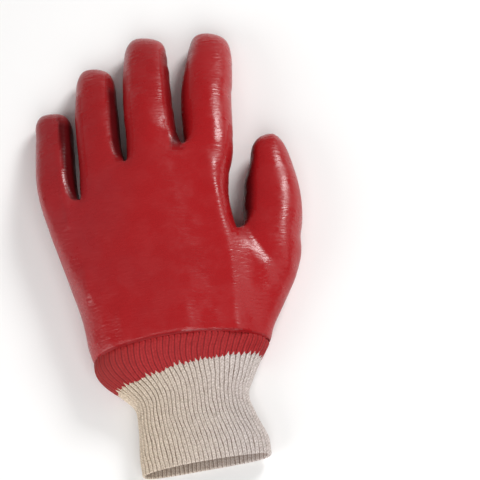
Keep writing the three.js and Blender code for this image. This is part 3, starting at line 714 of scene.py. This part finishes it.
def rib_places(tree):
    """Two outputs: how far a place is off its rib's middle line, in ribs, and its row's number."""
    ribs = add_node(tree, "ShaderNodeUVMap", {"uv_map": "ribs"})
    split = add_node(tree, "ShaderNodeSeparateXYZ", None, {"Vector": ribs.outputs["UV"]})
    in_rib = add_node(tree, "ShaderNodeMath", {"operation": "FRACT"}, {0: split.outputs["X"]})
    across = add_node(
        tree, "ShaderNodeMath", {"operation": "SUBTRACT", 1: 0.5}, {0: in_rib.outputs["Value"]}
    )
    off_middle = add_node(tree, "ShaderNodeMath", {"operation": "ABSOLUTE"}, {0: across.outputs["Value"]})
    return off_middle.outputs["Value"], split.outputs["Y"]


# The dipped band. Below the seam the dip ran on over the first of the ribs: the PVC soaked in there,
# and ends in a ragged edge that follows each rib.
BAND_RELIEF = 0.34  # mm, the grooves' depth
BAND_ROWS = 22
BAND_INNER_ROWS = 5
BAND_TOP = -0.02  # its hidden top, as a share of the wrist from the seam
BAND_INSET = 1.27  # mm from its crowns to its inner face at the ragged edge
BAND_TAPER = 0.55  # mm more at the top
BAND_SWELL = 0.1  # mm that it bulges out at its top
SEAM_TUCK = 0.35  # mm that the seam draws its first rows in
EDGE_LAP = 0.004  # share of the wrist that its edge and the bare ribs reach past each other
EDGE_SINK = 0.12  # mm that both lie deeper there
SOAKED_DARK = "#941719"
SOAKED_LIGHT = "#B1292C"
SOAKED_DULL = "#831D18"
# painted shade for the grooves and for each rib's middle line
SOAKED_GROOVE_SHADE = "#690E14"
SPECKLE = 1.111 * MM  # grain of the cotton under the coat

rings = []
for step in range(BAND_ROWS):
    share = step / (BAND_ROWS - 1)
    depth = BAND_TOP + (coat_edge - BAND_TOP) * share
    relief = BAND_RELIEF * rib_groove * rib_size - BAND_SWELL * (1 - share)
    tuck = SEAM_TUCK * np.clip(1 - share * 7, 0, 1) ** 2
    rings.append(on_wrist(depth, relief + tuck, sway_of(depth)))
rings.append(on_wrist(coat_edge + EDGE_LAP, BAND_RELIEF * rib_groove + EDGE_SINK, sway_of(coat_edge)))
for step in range(BAND_INNER_ROWS):
    share = 1 - step / (BAND_INNER_ROWS - 1)
    depth = BAND_TOP + (coat_edge - BAND_TOP) * share
    rings.append(on_wrist(depth, BAND_INSET + BAND_TAPER * (1 - share), sway_of(depth)))
band = ring_piece("pvc_soaked_band", rings)

# PVC soaked into rib knit: duller than on the hand and browner towards the little finger. Painted shade
# darkens it down in the grooves and in a faint line along each rib, where its two rows of stitch legs meet.
soaked, tree = new_material("pvc_soaked_rib_knit")
off_middle, _ = rib_places(tree)
place = add_node(tree, "ShaderNodeTexCoord").outputs["Object"]
where = add_node(tree, "ShaderNodeSeparateXYZ", None, {"Vector": place})
groove = add_node(
    tree,
    "ShaderNodeMapRange",
    {"interpolation_type": "SMOOTHSTEP", "From Min": 0.36, "From Max": 0.5},
    {"Value": off_middle},
)
middle_line_shade = add_node(
    tree,
    "ShaderNodeMapRange",
    {"From Min": 0.0, "From Max": 0.14, "To Min": 0.5, "To Max": 0.0},
    {"Value": off_middle},
)
shade_lines = add_node(
    tree,
    "ShaderNodeMath",
    {"operation": "MAXIMUM"},
    {0: groove.outputs["Result"], 1: middle_line_shade.outputs["Result"]},
)
speckle = add_node(
    tree, "ShaderNodeTexNoise", {"Scale": 1 / SPECKLE, "Detail": 3.0, "Roughness": 0.6}, {"Vector": place}
)
tone = add_node(tree, "ShaderNodeValToRGB", None, {"Fac": speckle.outputs["Fac"]})
tone.color_ramp.elements[0].position = 0.3
tone.color_ramp.elements[0].color = to_linear(SOAKED_DARK)
tone.color_ramp.elements[1].position = 0.7
tone.color_ramp.elements[1].color = to_linear(SOAKED_LIGHT)
toward_little = add_node(
    tree,
    "ShaderNodeMapRange",
    {"From Min": -25 * MM, "From Max": -62 * MM, "To Max": 1.0},
    {"Value": where.outputs["X"]},
)
dulled = add_node(
    tree,
    "ShaderNodeMix",
    {"data_type": "RGBA", 7: to_linear(SOAKED_DULL)},
    {0: toward_little.outputs["Result"], 6: tone.outputs["Color"]},
)
lined = add_node(
    tree,
    "ShaderNodeMix",
    {"data_type": "RGBA", 7: to_linear(SOAKED_GROOVE_SHADE)},
    {0: shade_lines.outputs["Value"], 6: dulled.outputs[2]},
)
bump = add_node(
    tree, "ShaderNodeBump", {"Strength": 0.5, "Distance": 0.25 * MM}, {"Height": speckle.outputs["Fac"]}
)
cloth = add_node(
    tree,
    "ShaderNodeBsdfPrincipled",
    {"Roughness": 0.6, "Specular IOR Level": 0.22},
    {"Base Color": lined.outputs[2], "Normal": bump.outputs["Normal"]},
)
add_node(tree, "ShaderNodeOutputMaterial", None, {"Surface": cloth.outputs["BSDF"]})
band.data.materials.append(soaked)
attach(band, "root")
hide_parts("dipped_band")


# The knit cuff. Unbleached cotton in one-by-one rib, knitted as a tube of 66 ribs, sewn into the
# hand at the seam and left raw and rounded at the hem.
CUFF_RELIEF = 0.78  # mm, the grooves' depth
CUFF_THICK = 2.0  # mm
BARE_ROWS = 66
HEM_STEPS = 7
HEM_DROP = 0.6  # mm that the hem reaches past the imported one
HEM_SLANT = 1.2  # mm that it reaches further on the underside
HEM_RELIEF = 0.65  # share of the grooves' depth that is left at the hem
INNER_RELIEF = 0.5  # mm
SEAM_SWELL = 0.5  # mm that the cuff is thicker where it goes under the seam
UNDER_BAND = ((-0.05, 1.6), (0.0, 1.5), (0.5, 1.45), (0.97, 1.4))  # share of the band, mm inwards
INNER_SHARES = (1, 0.93, 0.86, 0.78, 0.7, 0.6, 0.5, 0.38, 0.25, 0.12, 0.0, -0.05)
STITCH = 1.5 * MM  # along the rib; drawn a little coarser than the real 1.1 mm so that it shows
STITCH_SLACK = 2.857 * MM  # how far apart the stitches tighten and loosen
YARN_FUZZ = 0.909 * MM  # drawn coarser than the real fibres so that it shows
GROOVE_PATCH = 6.25 * MM  # how far apart the grooves open and close
YARN_DARK = "#B9A595"
YARN_LIGHT = "#F8E7D8"
# painted shade for the grooves and for each rib's middle line
YARN_GROOVE_SHADE = "#745C4A"
YARN_WARM = "#EBEAE1"
YARN_COOL = "#EDF3FF"
# painted shade of the cuff's inner face
YARN_INSIDE_SHADE = "#8A7466"

hem_round = CUFF_THICK / 2
hem_z = wrist[-1, :, 2]
underside = (hem_z.max() - hem_z) / np.ptp(hem_z)
bare_start = coat_edge - EDGE_LAP
bare_end = 1 + (HEM_DROP + HEM_SLANT * underside - 0.9 * hem_round) / wrist_length
rings = []
for share, inset in UNDER_BAND:
    depth = share if share <= 0 else coat_edge * share
    rings.append(on_wrist(depth, inset, sway_of(depth)))
for step in range(BARE_ROWS):
    share = step / (BARE_ROWS - 1)
    depth = bare_start + (bare_end - bare_start) * share
    relief = CUFF_RELIEF * rib_groove * rib_size * (1 - (1 - HEM_RELIEF) * np.exp(-((1 - share) / 0.03)))
    sink = EDGE_SINK * np.clip(1 - share * 12, 0, 1)
    rings.append(on_wrist(depth, relief + sink, sway_of(depth)))
for step in range(1, HEM_STEPS):
    angle = math.pi * step / HEM_STEPS
    relief = CUFF_RELIEF * rib_groove * rib_size * HEM_RELIEF * math.cos(angle)
    depth = bare_end + math.sin(angle) * hem_round / wrist_length
    rings.append(on_wrist(depth, hem_round * (1 - math.cos(angle)) + relief, sway_of(1.0)))
inner_row = len(rings)
for share in INNER_SHARES:
    depth = bare_end * share
    relief = INNER_RELIEF * rib_groove * (1 if share < 1 else 0.8)
    thick = CUFF_THICK + (SEAM_SWELL if share < 0.2 else 0.0)
    rings.append(on_wrist(depth, thick - relief, sway_of(depth)))
cuff = ring_piece("rib_knit_cuff", rings)

# Unbleached cotton yarn in rib knit: matt and cream, each rib a column of stitches whose two legs meet in a
# V, a little cooler at the thumb's side. Painted shade browns the grooves, runs in a faint line down each
# rib's middle and darkens the inside, and the legs are painted a little lighter on their crests.
knit, tree = new_material("cotton_rib_knit")
off_middle, row_number = rib_places(tree)
place = add_node(tree, "ShaderNodeTexCoord").outputs["Object"]
where = add_node(tree, "ShaderNodeSeparateXYZ", None, {"Vector": place})
wander = add_node(tree, "ShaderNodeTexNoise", {"Scale": 1 / STITCH_SLACK, "Detail": 2.0}, {"Vector": place})
down = add_node(tree, "ShaderNodeMath", {"operation": "DIVIDE", 1: STITCH}, {0: where.outputs["Y"]})
slant = add_node(
    tree,
    "ShaderNodeMath",
    {"operation": "MULTIPLY_ADD", 1: 1.6},
    {0: off_middle, 2: down.outputs["Value"]},
)
loose = add_node(
    tree,
    "ShaderNodeMath",
    {"operation": "MULTIPLY_ADD", 1: 1.1},
    {0: wander.outputs["Fac"], 2: slant.outputs["Value"]},
)
turn = add_node(
    tree, "ShaderNodeMath", {"operation": "MULTIPLY", 1: 2 * math.pi}, {0: loose.outputs["Value"]}
)
leg = add_node(tree, "ShaderNodeMath", {"operation": "SINE"}, {0: turn.outputs["Value"]})
fuzz = add_node(
    tree, "ShaderNodeTexNoise", {"Scale": 1 / YARN_FUZZ, "Detail": 3.0, "Roughness": 0.65}, {"Vector": place}
)
# Painted shade on the stitches: the legs are a little lighter on their crests, where the bump lifts them.
stitched = add_node(
    tree,
    "ShaderNodeMath",
    {"operation": "MULTIPLY_ADD", 1: 0.07},
    {0: leg.outputs["Value"], 2: fuzz.outputs["Fac"]},
)
tone = add_node(tree, "ShaderNodeValToRGB", None, {"Fac": stitched.outputs["Value"]})
tone.color_ramp.elements[0].position = 0.28
tone.color_ramp.elements[0].color = to_linear(YARN_DARK)
tone.color_ramp.elements[1].position = 0.66
tone.color_ramp.elements[1].color = to_linear(YARN_LIGHT)
groove = add_node(
    tree,
    "ShaderNodeMapRange",
    {"interpolation_type": "SMOOTHSTEP", "From Min": 0.35, "From Max": 0.49},
    {"Value": off_middle},
)
uneven = add_node(
    tree,
    "ShaderNodeTexNoise",
    {"Scale": 1 / GROOVE_PATCH, "Detail": 3.0, "Roughness": 0.6},
    {"Vector": place},
)
tightness = add_node(
    tree,
    "ShaderNodeMapRange",
    {"From Min": 0.38, "From Max": 0.6, "To Min": 0.45, "To Max": 1.0},
    {"Value": uneven.outputs["Fac"]},
)
cleft = add_node(
    tree,
    "ShaderNodeMath",
    {"operation": "MULTIPLY"},
    {0: groove.outputs["Result"], 1: tightness.outputs["Result"]},
)
middle_line_shade = add_node(
    tree,
    "ShaderNodeMapRange",
    {"From Min": 0.0, "From Max": 0.13, "To Min": 0.34, "To Max": 0.0},
    {"Value": off_middle},
)
shade_lines = add_node(
    tree,
    "ShaderNodeMath",
    {"operation": "MAXIMUM"},
    {0: cleft.outputs["Value"], 1: middle_line_shade.outputs["Result"]},
)
lined = add_node(
    tree,
    "ShaderNodeMix",
    {"data_type": "RGBA", 7: to_linear(YARN_GROOVE_SHADE)},
    {0: shade_lines.outputs["Value"], 6: tone.outputs["Color"]},
)
toward_thumb = add_node(
    tree, "ShaderNodeMapRange", {"From Min": -38 * MM, "From Max": 24 * MM}, {"Value": where.outputs["X"]}
)
cast = add_node(tree, "ShaderNodeValToRGB", None, {"Fac": toward_thumb.outputs["Result"]})
cast.color_ramp.elements[0].color = to_linear(YARN_WARM)
cast.color_ramp.elements[1].color = to_linear(YARN_COOL)
tinted = add_node(
    tree,
    "ShaderNodeMix",
    {"data_type": "RGBA", "blend_type": "MULTIPLY", 0: 1.0},
    {6: lined.outputs[2], 7: cast.outputs["Color"]},
)
# Painted shade darkens the inner face of the cuff.
inside = add_node(
    tree,
    "ShaderNodeMapRange",
    {"From Min": inner_row - 3, "From Max": inner_row + 2, "To Max": 0.55},
    {"Value": row_number},
)
shaded = add_node(
    tree,
    "ShaderNodeMix",
    {"data_type": "RGBA", 7: to_linear(YARN_INSIDE_SHADE)},
    {0: inside.outputs["Result"], 6: tinted.outputs[2]},
)
height = add_node(
    tree,
    "ShaderNodeMath",
    {"operation": "MULTIPLY_ADD", 1: 0.5},
    {0: leg.outputs["Value"], 2: fuzz.outputs["Fac"]},
)
bump = add_node(
    tree, "ShaderNodeBump", {"Strength": 0.7, "Distance": 0.22 * MM}, {"Height": height.outputs["Value"]}
)
cloth = add_node(
    tree,
    "ShaderNodeBsdfPrincipled",
    {"Roughness": 0.95, "Specular IOR Level": 0.15, "Sheen Weight": 0.2, "Sheen Roughness": 0.5},
    {"Base Color": shaded.outputs[2], "Normal": bump.outputs["Normal"]},
)
add_node(tree, "ShaderNodeOutputMaterial", None, {"Surface": cloth.outputs["BSDF"]})
cuff.data.materials.append(knit)
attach(cuff, "root")
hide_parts("knit_cuff")


# The studio. A plain pale floor under the glove, faint white light from all round, and four soft
# boxes: a small one past the fingertips on the thumb's side, which lays the sheen along each finger,
# and large ones at the thumb's side, at the wrist and at the little finger's side.
FLOOR = "#FBFAF9"
FLOOR_SIZE = 6.0
ROOM_LIGHT = 0.14

# Each light: the way to it, how far, its side in metres, its watts.
LIGHTS = {
    "key_box": ((0.56, 0.56, 0.61), 1.1, 0.35, 7.0),
    "side_box": ((0.78, 0.0, 0.62), 1.2, 0.8, 1.6),
    "front_box": ((0.08, -0.70, 0.71), 1.2, 0.9, 8.0),
    "fill_box": ((-0.80, -0.46, 0.42), 1.2, 0.9, 8.0),
}

bpy.ops.object.select_all(action="DESELECT")
bpy.ops.mesh.primitive_plane_add(size=FLOOR_SIZE, location=(0, 0, 0))
floor = bpy.context.object
floor.name = "studio_floor"
paper, tree = new_material("pale_paper")
sheet = add_node(tree, "ShaderNodeBsdfPrincipled", {"Base Color": to_linear(FLOOR), "Roughness": 0.9})
add_node(tree, "ShaderNodeOutputMaterial", None, {"Surface": sheet.outputs["BSDF"]})
floor.data.materials.append(paper)

world = bpy.data.worlds.new("studio")
world.use_nodes = True
world.node_tree.nodes["Background"].inputs["Color"].default_value = (1.0, 1.0, 1.0, 1.0)
world.node_tree.nodes["Background"].inputs["Strength"].default_value = ROOM_LIGHT
bpy.context.scene.world = world
bpy.context.scene.view_settings.view_transform = "Standard"

for name, (way, reach, size, power) in LIGHTS.items():
    toward = Vector(way).normalized()
    bpy.ops.object.light_add(type="AREA", location=toward * reach)
    light = bpy.context.object
    light.name = name
    light.data.shape = "SQUARE"
    light.data.size = size
    light.data.energy = power
    light.rotation_euler = toward.to_track_quat("Z", "Y").to_euler()
